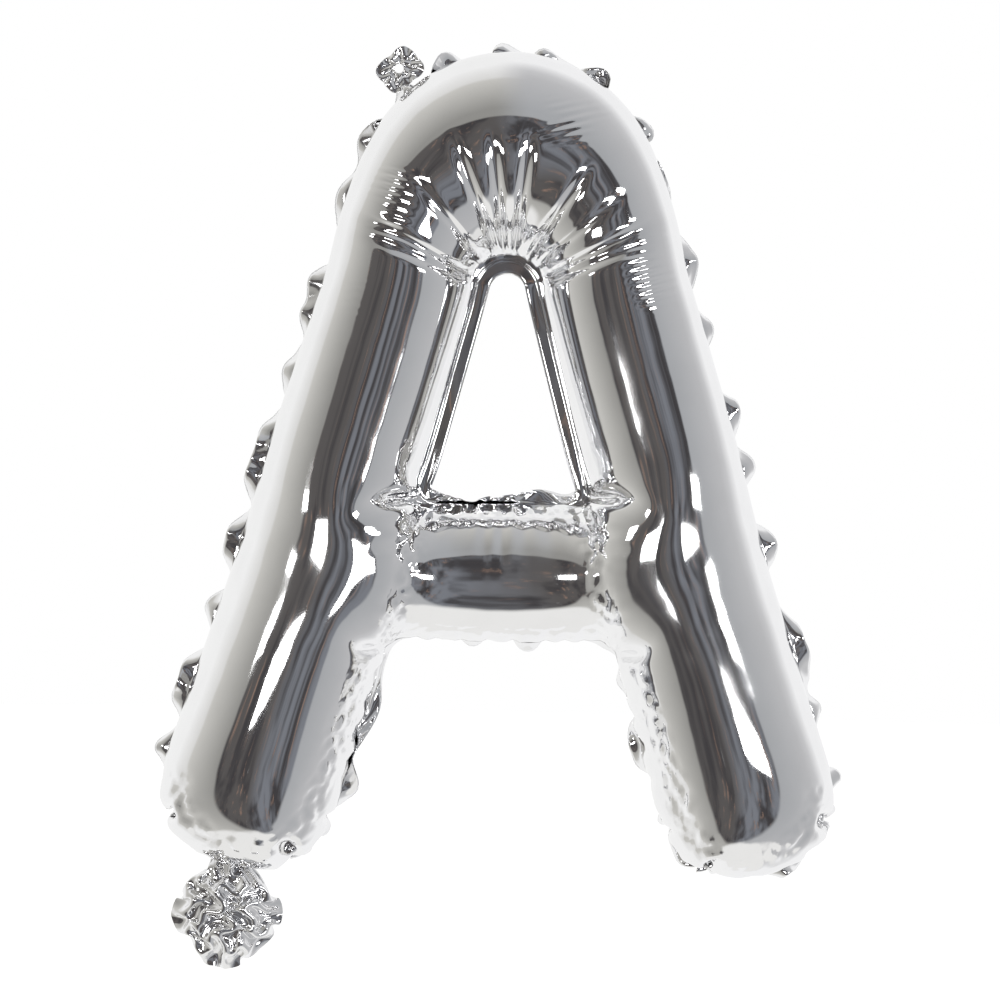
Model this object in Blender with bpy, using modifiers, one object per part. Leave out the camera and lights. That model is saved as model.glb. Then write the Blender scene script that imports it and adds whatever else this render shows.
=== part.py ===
"""Letter foil balloon, the capital A, filled with air.

Metres, +Z up, the front faces -Y. The letter is drawn with its axis at x = 0 and
its feet at z = 0, then hung from an empty that puts the world's origin at the
centre of the hanging tab's hole, half way between the two foil panels.
"""

import math

import bmesh
import bpy

MM = 0.001

# The letter as it stands when it is full of air
ARCH_CENTRE = (0.0, 285 * MM)
ARCH_RADIUS = 65 * MM
FOOT_CENTRE = (105 * MM, 38 * MM)
FOOT_RADIUS = 38 * MM
CROTCH_CENTRE = (40.4 * MM, 84 * MM)
CROTCH_RADIUS = 12 * MM
CROTCH_CORNER_ANGLE = math.radians(53)

# The counter, the hole of the letter, along its seam
COUNTER_TOP_CENTRE = (0.0, 245.5 * MM)
COUNTER_TOP_RADIUS = 13.7 * MM
COUNTER_FOOT_CENTRE = (29.9 * MM, 163 * MM)
COUNTER_FOOT_RADIUS = 6 * MM
COUNTER_CORNER_ANGLE = math.radians(-37)

# Half of the thickness of each tube, front to back
FOOT_DEPTH = 38.5 * MM
LEG_DEPTH = 40.5 * MM
SHOULDER_DEPTH = 35.7 * MM
ARCH_DEPTH = 40 * MM
BAR_DEPTH = 23 * MM

# Where a tube's crown lies between its inner edge, 0, and its outer edge, 1
LEG_CROWN = 0.5
ARCH_CROWN = 0.53

# The creases that run out from the top of the counter, by their rows on each half
CREASE_DEPTH = 2 * MM
CREASE_STEPS = (2, 10, 14)

# Foil and seams
FOIL_WALL = 1.5 * MM
SEAM_THICKNESS = 0.8 * MM
SEAM_WIDTH = 5 * MM
COUNTER_SEAM_WIDTH = 5.5 * MM
SEAM_UNDER_PANEL = 1.5 * MM
PANEL_LIFT = 1.0 * MM
TOUCHING_GAP = 0.3 * MM

# The filling tail under the left foot
TAIL_CENTRE = (-114 * MM, -21 * MM)
TAIL_RADIUS = 19 * MM
TAIL_NECK_FILLET = 5 * MM
POUCH_CENTRE = (-113 * MM, -17.9 * MM)
POUCH_HALF_WIDTH = 15 * MM
POUCH_HALF_HEIGHT = 17.4 * MM
POUCH_DEPTH = 8 * MM
TAIL_WALL = 1.0 * MM

# The hanging tab, at the upper left of the arch
TAB_ANGLE = math.radians(131)
TAB_HOLE_DISTANCE = 73.5 * MM
TAB_HOLE_RADIUS = 2 * MM
TAB_INNER_DISTANCE = 66 * MM
TAB_OUTER_DISTANCE = 78.5 * MM
TAB_WIDTH = 14 * MM
TAB_CORNER_RADIUS = 4.5 * MM
TAB_THICKNESS = 0.9 * MM

# How finely the forms are divided
CROSS_STEPS = 12
FOOT_STEPS = 6
LOWER_LEG_STEPS = 4
BAR_STEPS = 8
UPPER_LEG_STEPS = 7
ARCH_STEPS = 16
BAR_COLUMNS = 6
POUCH_STEPS = 10
OUTLINE_STEP = 5 * MM

CONVEX = 1
CONCAVE = -1


def clear_scene():
    """Remove every object of the startup scene."""
    for item in list(bpy.data.objects):
        bpy.data.objects.remove(item, do_unlink=True)


def make_collection(name):
    """Make a collection linked to the scene."""
    collection = bpy.data.collections.new(name)
    bpy.context.scene.collection.children.link(collection)
    return collection


def make_foil(name, colour, roughness):
    """Make a metallised film material with a Principled BSDF."""
    material = bpy.data.materials.new(name)
    material.use_nodes = True
    shader = material.node_tree.nodes["Principled BSDF"]
    shader.inputs["Base Color"].default_value = (*colour, 1.0)
    shader.inputs["Metallic"].default_value = 1.0
    shader.inputs["Roughness"].default_value = roughness
    return material


def lerp(start, end, share):
    """Return the point a given share of the way from start to end."""
    return tuple(a + (b - a) * share for a, b in zip(start, end))


def on_circle(centre, radius, angle):
    """Return the point of a circle at an angle."""
    return (centre[0] + radius * math.cos(angle), centre[1] + radius * math.sin(angle))


def belt_heading(first, second):
    """Return the heading of the line that touches two pulleys of a belt."""
    (x1, z1), r1, side1 = first
    (x2, z2), r2, side2 = second
    distance = math.hypot(x2 - x1, z2 - z1)
    # Two pulleys that touch give a value of one, give or take rounding.
    spread = (side2 * r2 - side1 * r1) / distance
    lean = math.asin(max(-1.0, min(1.0, spread)))
    return math.atan2(z2 - z1, x2 - x1) - lean


def belt(pulleys, offset=0.0):
    """Return the closed outline of a belt that runs anticlockwise over pulleys.

    Each pulley is (centre, radius, CONVEX or CONCAVE). A positive offset moves
    the whole outline outward by that distance.
    """
    moved = [(centre, radius + side * offset, side) for centre, radius, side in pulleys]
    points = []
    for index, pulley in enumerate(moved):
        centre, radius, side = pulley
        arrival = belt_heading(moved[index - 1], pulley)
        departure = belt_heading(pulley, moved[(index + 1) % len(moved)])
        turn = side * ((side * (departure - arrival)) % math.tau)
        steps = max(3, math.ceil(abs(turn) * radius / OUTLINE_STEP))
        for step in range(steps + 1):
            heading = arrival + turn * step / steps
            points.append(on_circle(centre, side * radius, heading - math.pi / 2))
    return points


def mirrored(point):
    """Return the point on the other side of the letter's axis."""
    return (-point[0], point[1])


def letter_pulleys(tail_pulleys=()):
    """Return the pulleys of the letter's outer outline, anticlockwise from the top."""
    return [
        (ARCH_CENTRE, ARCH_RADIUS, CONVEX),
        (mirrored(FOOT_CENTRE), FOOT_RADIUS, CONVEX),
        *tail_pulleys,
        (mirrored(CROTCH_CENTRE), CROTCH_RADIUS, CONCAVE),
        (CROTCH_CENTRE, CROTCH_RADIUS, CONCAVE),
        (FOOT_CENTRE, FOOT_RADIUS, CONVEX),
    ]


def counter_pulleys():
    """Return the pulleys of the counter's seam, anticlockwise from the top."""
    return [
        (COUNTER_TOP_CENTRE, COUNTER_TOP_RADIUS, CONVEX),
        (mirrored(COUNTER_FOOT_CENTRE), COUNTER_FOOT_RADIUS, CONVEX),
        (COUNTER_FOOT_CENTRE, COUNTER_FOOT_RADIUS, CONVEX),
    ]


def neck_fillets():
    """Return the centres of the two fillets between the left foot's seam and the tail."""
    foot = mirrored(FOOT_CENTRE)
    to_foot = FOOT_RADIUS + SEAM_WIDTH + TAIL_NECK_FILLET
    to_tail = TAIL_RADIUS + TAIL_NECK_FILLET
    dx = TAIL_CENTRE[0] - foot[0]
    dz = TAIL_CENTRE[1] - foot[1]
    length = math.hypot(dx, dz)
    along = (to_foot**2 - to_tail**2 + length**2) / (2 * length)
    aside = math.sqrt(to_foot**2 - along**2)
    unit = (dx / length, dz / length)
    middle = (foot[0] + unit[0] * along, foot[1] + unit[1] * along)
    left = (middle[0] + unit[1] * aside, middle[1] - unit[0] * aside)
    right = (middle[0] - unit[1] * aside, middle[1] + unit[0] * aside)
    return left, right


def tail_pulleys():
    """Return the pulleys that lead the outer edge of the seam round the tail.

    They are for a belt that is offset by the width of the seam, so each radius
    is given without it.
    """
    left, right = neck_fillets()
    return [
        (left, TAIL_NECK_FILLET + SEAM_WIDTH, CONCAVE),
        (TAIL_CENTRE, TAIL_RADIUS - SEAM_WIDTH, CONVEX),
        (right, TAIL_NECK_FILLET + SEAM_WIDTH, CONCAVE),
        (mirrored(FOOT_CENTRE), FOOT_RADIUS, CONVEX),
    ]


def outer_edge_line():
    """Return the two ends of the straight outer edge of the right leg, foot end first."""
    heading = belt_heading(
        (FOOT_CENTRE, FOOT_RADIUS, CONVEX), (ARCH_CENTRE, ARCH_RADIUS, CONVEX)
    )
    low = on_circle(FOOT_CENTRE, FOOT_RADIUS, heading - math.pi / 2)
    high = on_circle(ARCH_CENTRE, ARCH_RADIUS, heading - math.pi / 2)
    return low, high


def inner_edge_line():
    """Return the ends of the straight inner edge of the right lower leg, foot end first."""
    heading = belt_heading(
        (CROTCH_CENTRE, CROTCH_RADIUS, CONCAVE), (FOOT_CENTRE, FOOT_RADIUS, CONVEX)
    )
    low = on_circle(FOOT_CENTRE, FOOT_RADIUS, heading - math.pi / 2)
    high = on_circle(CROTCH_CENTRE, CROTCH_RADIUS, heading + math.pi / 2)
    return low, high


def walk(path, share):
    """Return the point a given share of the length along a path of points."""
    lengths = [math.dist(a, b) for a, b in zip(path, path[1:])]
    left = share * sum(lengths)
    for start, end, length in zip(path, path[1:], lengths):
        if left <= length:
            return lerp(start, end, left / length)
        left -= length
    return path[-1]


def arc_path(centre, radius, start, end, steps=16):
    """Return points along an arc between two angles."""
    turns = [start + (end - start) * step / steps for step in range(steps + 1)]
    return [on_circle(centre, radius, turn) for turn in turns]


def tube_point(inner, outer, depth, angle, crown, crease):
    """Return the point of a tube's front at an angle from its inner to its outer edge."""
    share = (1 - math.cos(angle)) / 2
    share += (crown - 0.5) * 4 * share * (1 - share)
    x, z = lerp(inner, outer, share)
    pressed = crease * max(0.0, math.sin(2 * angle))
    return (x, depth * math.sin(angle) - pressed, z)


def tube_row(inner, outer, depth, start=0.0, crown=LEG_CROWN, crease=0.0):
    """Return one row of points over a tube, from its inner to its outer edge."""
    angles = [start + (math.pi - start) * i / CROSS_STEPS for i in range(CROSS_STEPS + 1)]
    return [tube_point(inner, outer, depth, angle, crown, crease) for angle in angles]


def foot_rows(lean):
    """Return the rows of the round end of the leg, from its tip to its widest."""
    outward = (math.cos(lean), math.sin(lean))
    downward = (math.sin(lean), -math.cos(lean))
    rows = []
    for step in range(FOOT_STEPS, 0, -1):
        down = math.sin(math.pi / 2 * step / FOOT_STEPS)
        row = []
        for index in range(CROSS_STEPS + 1):
            across = -math.cos(math.pi * index / CROSS_STEPS)
            u = across * math.sqrt(1 - down**2 / 2)
            v = down * math.sqrt(1 - across**2 / 2)
            x = FOOT_CENTRE[0] + FOOT_RADIUS * (u * outward[0] + v * downward[0])
            z = FOOT_CENTRE[1] + FOOT_RADIUS * (u * outward[1] + v * downward[1])
            row.append((x, FOOT_DEPTH * math.sqrt(max(0.0, 1 - u**2 - v**2)), z))
        rows.append(row)
    return rows


def bar_edges(x):
    """Return the heights of the crossbar's lower and upper seams at x."""
    low = CROTCH_CENTRE[1] + CROTCH_RADIUS
    if x > CROTCH_CENTRE[0]:
        drop = CROTCH_RADIUS**2 - (x - CROTCH_CENTRE[0]) ** 2
        low = CROTCH_CENTRE[1] + math.sqrt(max(0.0, drop))
    high = COUNTER_FOOT_CENTRE[1] - COUNTER_FOOT_RADIUS
    if x > COUNTER_FOOT_CENTRE[0]:
        rise = COUNTER_FOOT_RADIUS**2 - (x - COUNTER_FOOT_CENTRE[0]) ** 2
        high = COUNTER_FOOT_CENTRE[1] - math.sqrt(max(0.0, rise))
    return low, high


def panel_rows():
    """Return the rows over the right half of the letter, and how many lead to the bar."""
    low_outer, high_outer = outer_edge_line()
    low_inner, high_inner = inner_edge_line()
    lean = math.atan2(low_outer[1] - low_inner[1], low_outer[0] - low_inner[0])
    crotch = on_circle(CROTCH_CENTRE, CROTCH_RADIUS, CROTCH_CORNER_ANGLE)
    counter_corner = on_circle(
        COUNTER_FOOT_CENTRE, COUNTER_FOOT_RADIUS, COUNTER_CORNER_ANGLE
    )

    def across(inner):
        """Return the point of the outer edge straight across the leg."""
        slope = (high_outer[0] - low_outer[0]) / (high_outer[1] - low_outer[1])
        reach = low_outer[0] + slope * (inner[1] - low_outer[1]) - inner[0]
        run = reach / (math.cos(lean) - slope * math.sin(lean))
        return (inner[0] + run * math.cos(lean), inner[1] + run * math.sin(lean))

    rows = foot_rows(lean)

    # From the foot to the crotch
    arrival = math.atan2(
        high_inner[1] - CROTCH_CENTRE[1], high_inner[0] - CROTCH_CENTRE[0]
    )
    inner_path = [low_inner] + arc_path(
        CROTCH_CENTRE, CROTCH_RADIUS, arrival, CROTCH_CORNER_ANGLE
    )
    outer_path = [low_outer, across(crotch)]
    for step in range(LOWER_LEG_STEPS):
        share = step / LOWER_LEG_STEPS
        depth = FOOT_DEPTH + (LEG_DEPTH - FOOT_DEPTH) * share
        rows.append(tube_row(walk(inner_path, share), walk(outer_path, share), depth))

    # Across the end of the crossbar, where the leg's rows start on the bar
    rows_before_bar = len(rows)
    bar_outer = [across(crotch), across(counter_corner)]
    for step in range(BAR_STEPS + 1):
        turn = math.pi * step / BAR_STEPS
        start = math.asin(BAR_DEPTH * math.sin(turn) / LEG_DEPTH)
        share = (1 - math.cos(turn)) / 2
        inner = lerp(crotch, counter_corner, share)
        rows.append(tube_row(inner, lerp(*bar_outer, share), LEG_DEPTH, start))

    # Up the leg beside the counter
    side_heading = belt_heading(counter_pulleys()[2], counter_pulleys()[0])
    side = side_heading - math.pi / 2
    inner_path = arc_path(
        COUNTER_FOOT_CENTRE, COUNTER_FOOT_RADIUS, COUNTER_CORNER_ANGLE, side
    )
    inner_path.append(on_circle(COUNTER_TOP_CENTRE, COUNTER_TOP_RADIUS, side))
    outer_path = [across(counter_corner), across(inner_path[-1])]
    for step in range(1, UPPER_LEG_STEPS + 1):
        share = step / UPPER_LEG_STEPS
        depth = LEG_DEPTH + (SHOULDER_DEPTH - LEG_DEPTH) * share
        rows.append(tube_row(walk(inner_path, share), walk(outer_path, share), depth))

    # Round the arch to its top
    inner_path = arc_path(COUNTER_TOP_CENTRE, COUNTER_TOP_RADIUS, side, math.pi / 2)
    shoulder = math.atan2(high_outer[1] - ARCH_CENTRE[1], high_outer[0] - ARCH_CENTRE[0])
    outer_path = [outer_path[-1]]
    outer_path += arc_path(ARCH_CENTRE, ARCH_RADIUS, shoulder, math.pi / 2, 32)
    for step in range(1, ARCH_STEPS + 1):
        share = step / ARCH_STEPS
        depth = SHOULDER_DEPTH + (ARCH_DEPTH - SHOULDER_DEPTH) * share
        crown = LEG_CROWN + (ARCH_CROWN - LEG_CROWN) * share
        crease = CREASE_DEPTH if step in CREASE_STEPS else 0.0
        inner, outer = walk(inner_path, share), walk(outer_path, share)
        rows.append(tube_row(inner, outer, depth, crown=crown, crease=crease))
    return rows, rows_before_bar


def bar_columns(rows, rows_before_bar):
    """Return the crossbar's points, one list for each of the leg's rows that meet it."""
    columns = []
    for step in range(BAR_STEPS + 1):
        turn = math.pi * step / BAR_STEPS
        join_x, _, join_z = rows[rows_before_bar + step][0]
        low, high = bar_edges(join_x)
        ideal = (low + high) / 2 - (high - low) / 2 * math.cos(turn)
        points = []
        for column in range(1, BAR_COLUMNS + 1):
            share = column / BAR_COLUMNS
            x = join_x * (1 - share)
            low, high = bar_edges(x)
            z = (low + high) / 2 - (high - low) / 2 * math.cos(turn)
            z += (join_z - ideal) * (1 - share) ** 2
            points.append((x, BAR_DEPTH * math.sin(turn), z))
        columns.append(points)
    return columns


def add_grid(mesh, grid, facing):
    """Add the faces of a grid of vertices, turned to face -Y or +Y."""
    for lower, upper in zip(grid, grid[1:]):
        for index in range(len(lower) - 1):
            corners = [lower[index], lower[index + 1], upper[index + 1], upper[index]]
            mesh.faces.new(corners if facing < 0 else corners[::-1])


def shell_object(name, mesh, wall, collection, base, material, mirror):
    """Turn an open surface into a named object with a wall, mirrored if asked."""
    data = bpy.data.meshes.new(name)
    mesh.to_mesh(data)
    mesh.free()
    shell = bpy.data.objects.new(name, data)
    collection.objects.link(shell)
    shell.parent = base
    data.materials.append(material)
    if mirror:
        halves = shell.modifiers.new("Halves", "MIRROR")
        halves.merge_threshold = 0.0001
    solidify = shell.modifiers.new("Wall", "SOLIDIFY")
    solidify.thickness = wall
    solidify.offset = -1.0
    data.shade_smooth()
    return shell


def make_panel(name, facing, collection, base, material):
    """Make one pillowed foil panel. facing is -1 for the front and 1 for the back."""
    rows, rows_before_bar = panel_rows()
    bar = bar_columns(rows, rows_before_bar)
    mesh = bmesh.new()

    def add_row(points):
        """Add a row of vertices on this panel's side of the seam."""
        return [
            mesh.verts.new((x, facing * (PANEL_LIFT + depth), z)) for x, depth, z in points
        ]

    leg_grid = [add_row(row) for row in rows]
    bar_grid = []
    for step, points in enumerate(bar):
        row = add_row(points)
        bar_grid.append([leg_grid[rows_before_bar + step][0], *row])
    add_grid(mesh, leg_grid, facing)
    add_grid(mesh, bar_grid, -facing)
    return shell_object(name, mesh, FOIL_WALL, collection, base, material, True)


def make_pouch(name, facing, collection, base, material):
    """Make one layer of the filling tail, a low oval dome on the tail's seam."""
    mesh = bmesh.new()
    grid = []
    for step in range(POUCH_STEPS + 1):
        b = -math.cos(math.pi * step / POUCH_STEPS)
        row = []
        for index in range(POUCH_STEPS + 1):
            a = -math.cos(math.pi * index / POUCH_STEPS)
            u = a * math.sqrt(1 - b**2 / 2)
            v = b * math.sqrt(1 - a**2 / 2)
            depth = PANEL_LIFT + POUCH_DEPTH * math.sqrt(max(0.0, 1 - u**2 - v**2))
            x = POUCH_CENTRE[0] + POUCH_HALF_WIDTH * u
            z = POUCH_CENTRE[1] + POUCH_HALF_HEIGHT * v
            row.append(mesh.verts.new((x, facing * depth, z)))
        grid.append(row)
    add_grid(mesh, grid, facing)
    return shell_object(name, mesh, TAIL_WALL, collection, base, material, False)


def make_plate(name, outlines, thickness, collection, base, material):
    """Make a flat upright plate from an outline and the holes inside it."""
    curve = bpy.data.curves.new(name, "CURVE")
    curve.dimensions = "2D"
    curve.fill_mode = "BOTH"
    curve.extrude = thickness / 2
    for outline in outlines:
        spline = curve.splines.new("POLY")
        spline.points.add(len(outline) - 1)
        for point, (x, z) in zip(spline.points, outline):
            point.co = (x, z, 0.0, 1.0)
        spline.use_cyclic_u = True
    curve.materials.append(material)
    plate = bpy.data.objects.new(name, curve)
    collection.objects.link(plate)
    plate.parent = base
    plate.rotation_euler = (math.pi / 2, 0.0, 0.0)
    return plate


def make_outer_seam(collection, base, material):
    """Make the sealed margin round the letter, with the plate of the tail."""
    outside = belt(letter_pulleys(tail_pulleys()), SEAM_WIDTH)
    inside = belt(letter_pulleys(), -SEAM_UNDER_PANEL)
    return make_plate(
        "outer_seam", [outside, inside], SEAM_THICKNESS, collection, base, material
    )


def make_counter_seam(collection, base, material):
    """Make the sealed ring round the counter."""
    outside = belt(counter_pulleys(), SEAM_UNDER_PANEL)
    inside = belt(counter_pulleys(), -COUNTER_SEAM_WIDTH)
    return make_plate(
        "counter_seam", [outside, inside], SEAM_THICKNESS, collection, base, material
    )


def tab_hole_centre():
    """Return the centre of the hanging tab's hole in the letter's own coordinates."""
    return on_circle(ARCH_CENTRE, TAB_HOLE_DISTANCE, TAB_ANGLE)


def make_hanging_tab(collection, base, material):
    """Make the tab behind the seam of the arch, with its punched hole."""
    reach = TAB_WIDTH / 2 - TAB_CORNER_RADIUS
    corners = []
    for distance, aside in [
        (TAB_INNER_DISTANCE + TAB_CORNER_RADIUS, -reach),
        (TAB_OUTER_DISTANCE - TAB_CORNER_RADIUS, -reach),
        (TAB_OUTER_DISTANCE - TAB_CORNER_RADIUS, reach),
        (TAB_INNER_DISTANCE + TAB_CORNER_RADIUS, reach),
    ]:
        out = on_circle(ARCH_CENTRE, distance, TAB_ANGLE)
        side = on_circle((0.0, 0.0), aside, TAB_ANGLE + math.pi / 2)
        centre = (out[0] + side[0], out[1] + side[1])
        corners.append((centre, TAB_CORNER_RADIUS, CONVEX))
    hole = arc_path(tab_hole_centre(), TAB_HOLE_RADIUS, 0.0, math.tau, 20)[:-1]
    tab = make_plate(
        "hanging_tab", [belt(corners), hole], TAB_THICKNESS, collection, base, material
    )
    tab.location.y = (SEAM_THICKNESS + TAB_THICKNESS) / 2 + TOUCHING_GAP
    return tab


def main():
    """Build the balloon."""
    clear_scene()
    balloon = make_collection("letter_foil_balloon")
    base = bpy.data.objects.new("letter_base", None)
    balloon.objects.link(base)
    hole = tab_hole_centre()
    base.location = (-hole[0], 0.0, -hole[1])

    silver = (0.86, 0.87, 0.89)
    seam_silver = (0.74, 0.75, 0.77)
    make_panel("front_panel", -1, balloon, base, make_foil("front_foil", silver, 0.06))
    make_panel("back_panel", 1, balloon, base, make_foil("back_foil", silver, 0.06))
    make_outer_seam(balloon, base, make_foil("outer_seam_foil", seam_silver, 0.16))
    make_counter_seam(balloon, base, make_foil("counter_seam_foil", seam_silver, 0.12))
    make_pouch("tail_front", -1, balloon, base, make_foil("tail_front_foil", silver, 0.1))
    make_pouch("tail_back", 1, balloon, base, make_foil("tail_back_foil", silver, 0.1))
    make_hanging_tab(balloon, base, make_foil("tab_foil", seam_silver, 0.12))


main()
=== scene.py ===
"""The looks of a letter foil balloon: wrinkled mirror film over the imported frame."""

import logging
import math
from dataclasses import dataclass, field
from enum import Enum

import bpy
import numpy as np
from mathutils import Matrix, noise


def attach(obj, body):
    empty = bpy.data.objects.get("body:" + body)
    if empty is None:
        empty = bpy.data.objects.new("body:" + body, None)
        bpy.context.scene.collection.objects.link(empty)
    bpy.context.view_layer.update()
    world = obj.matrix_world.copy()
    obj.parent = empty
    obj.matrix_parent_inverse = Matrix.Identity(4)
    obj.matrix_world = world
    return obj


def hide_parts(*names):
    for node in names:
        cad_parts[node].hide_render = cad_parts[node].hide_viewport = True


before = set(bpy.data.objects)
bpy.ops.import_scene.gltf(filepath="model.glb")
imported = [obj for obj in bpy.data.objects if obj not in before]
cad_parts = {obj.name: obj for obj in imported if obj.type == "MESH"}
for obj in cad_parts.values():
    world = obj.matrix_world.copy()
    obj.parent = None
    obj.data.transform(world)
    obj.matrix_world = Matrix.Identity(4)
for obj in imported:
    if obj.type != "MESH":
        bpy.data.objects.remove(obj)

LOG = logging.getLogger("letter_foil_balloon")
MM = 0.001
RIBBON_HOLE = np.array((-48.220, 0.0, 340.471)) * MM
BODY = "root"

Point = tuple[float, float]
Array = np.ndarray


class Side(Enum):
    """Which way the outline turns round a pulley."""

    CONVEX = 1
    CONCAVE = -1


@dataclass(frozen=True)
class Pulley:
    """A circle that the outline of the letter runs round, like a belt.

    The letter's coordinates have the middle of its width at x = 0 and the lowest
    points of its feet at z = 0.
    """

    x: float
    z: float
    radius: float
    side: Side = Side.CONVEX

    def at(self, angle: float) -> Point:
        """Return the point of the circle at an angle from +X."""
        return (self.x + self.radius * math.cos(angle), self.z + self.radius * math.sin(angle))

    def arc(self, first: float, last: float, steps: int = 24) -> list[Point]:
        """Return points along the circle from one angle to another."""
        return [self.at(first + (last - first) * step / steps) for step in range(steps + 1)]

    def heading_to(self, other: "Pulley") -> float:
        """Return the direction of the belt's straight run to the next pulley.

        Args:
            other: The pulley that the belt reaches next.

        Returns:
            The angle from +X in radians.
        """
        apart = math.hypot(other.x - self.x, other.z - self.z)
        climb = (other.side.value * other.radius - self.side.value * self.radius) / apart
        return math.atan2(other.z - self.z, other.x - self.x) - math.asin(max(-1.0, min(1.0, climb)))


def between(first: Point, last: Point, share: float) -> Point:
    """Return the point at a share of the way between two points."""
    return (first[0] + (last[0] - first[0]) * share, first[1] + (last[1] - first[1]) * share)


def path_length(path: list[Point]) -> float:
    """Return the length of a path of points."""
    return sum(math.dist(a, b) for a, b in zip(path, path[1:]))


def walk(path: list[Point], share: float) -> Point:
    """Return the point at a share of a path's length.

    Args:
        path: The points of the path.
        share: How far along the path, from 0 to 1.

    Returns:
        The point there.
    """
    left = share * path_length(path)
    for first, last in zip(path, path[1:]):
        run = math.dist(first, last)
        if left <= run:
            return between(first, last, left / max(run, 1e-12))
        left -= run
    return path[-1]


@dataclass(frozen=True)
class LetterOutline:
    """The right half of the letter's outline, flat or inflated, and its sections."""

    arch: Pulley
    foot: Pulley
    crotch: Pulley
    counter_top: Pulley
    counter_foot: Pulley
    crotch_corner: float = math.radians(53)
    counter_corner: float = math.radians(-37)
    foot_squareness: float = 1.0

    def outer_tangents(self) -> tuple[Point, Point]:
        """Return where the straight outer edge leaves the foot and meets the arch."""
        turn = self.foot.heading_to(self.arch) - math.pi / 2
        return self.foot.at(turn), self.arch.at(turn)

    def foot_line(self) -> tuple[Point, Point]:
        """Return the ends of the line across the leg where the round foot begins."""
        heading = self.crotch.heading_to(self.foot)
        return self.foot.at(heading - math.pi / 2), self.outer_tangents()[0]

    def lean(self) -> float:
        """Return the angle of the sections that cross the leg."""
        inner, outer = self.foot_line()
        return math.atan2(outer[1] - inner[1], outer[0] - inner[0])

    def across(self, point: Point) -> Point:
        """Return the point of the straight outer edge across the leg from a point."""
        low, high = self.outer_tangents()
        slope = (high[0] - low[0]) / (high[1] - low[1])
        reach = low[0] + slope * (point[1] - low[1]) - point[0]
        run = reach / (math.cos(self.lean()) - slope * math.sin(self.lean()))
        return (point[0] + run * math.cos(self.lean()), point[1] + run * math.sin(self.lean()))

    def lower_leg(self) -> tuple[list[Point], list[Point]]:
        """Return the inner and outer paths from the foot's line to the crossbar."""
        inner, outer = self.foot_line()
        start = self.crotch.heading_to(self.foot) + math.pi / 2
        path = [inner] + self.crotch.arc(start, self.crotch_corner)
        return path, [outer, self.across(path[-1])]

    def beside_bar(self) -> tuple[list[Point], list[Point]]:
        """Return the inner and outer paths along the end of the crossbar."""
        low, high = self.crotch.at(self.crotch_corner), self.counter_foot.at(self.counter_corner)
        return [low, high], [self.across(low), self.across(high)]

    def upper_leg(self) -> tuple[list[Point], list[Point]]:
        """Return the inner and outer paths beside the counter."""
        turn = self.counter_foot.heading_to(self.counter_top) - math.pi / 2
        inner = self.counter_foot.arc(self.counter_corner, turn) + [self.counter_top.at(turn)]
        return inner, [self.across(inner[0]), self.across(inner[-1])]

    def half_arch(self) -> tuple[list[Point], list[Point]]:
        """Return the inner and outer paths from the shoulder to the letter's axis."""
        turn = self.counter_foot.heading_to(self.counter_top) - math.pi / 2
        high = self.outer_tangents()[1]
        shoulder = math.atan2(high[1] - self.arch.z, high[0] - self.arch.x)
        outer = [self.upper_leg()[1][-1]] + self.arch.arc(shoulder, math.pi / 2, 60)
        return self.counter_top.arc(turn, math.pi / 2), outer

    def bar_edges(self, x: float) -> Point:
        """Return the heights of the crossbar's lower and upper edge at a distance x."""
        rise, drop = (
            math.sqrt(max(0.0, corner.radius**2 - max(0.0, x - corner.x) ** 2))
            for corner in (self.crotch, self.counter_foot)
        )
        return self.crotch.z + rise, self.counter_foot.z - drop


FLAT_LETTER = LetterOutline(
    arch=Pulley(0.0, 284 * MM, 92 * MM),
    foot=Pulley(122 * MM, 42 * MM, 56.5 * MM),
    crotch=Pulley(43 * MM, 69 * MM, 12 * MM, Side.CONCAVE),
    counter_top=Pulley(0.0, 243 * MM, 14 * MM),
    counter_foot=Pulley(35 * MM, 163 * MM, 6 * MM),
    foot_squareness=0.88,
)
FULL_LETTER = LetterOutline(
    arch=Pulley(0.0, 285 * MM, 61.5 * MM),
    foot=Pulley(104.5 * MM, 38 * MM, 36 * MM),
    crotch=Pulley(40.4 * MM, 84 * MM, 12 * MM, Side.CONCAVE),
    counter_top=Pulley(0.0, 245.5 * MM, 13.7 * MM),
    counter_foot=Pulley(29.9 * MM, 163 * MM, 6 * MM),
)


@dataclass(frozen=True)
class TubeDepths:
    """How deep each half of the inflated tube is, from the seam to its crown."""

    foot: float = 37 * MM
    leg: float = 37 * MM
    shoulder: float = 34 * MM
    arch: float = 36 * MM
    bar: float = 30 * MM


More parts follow.
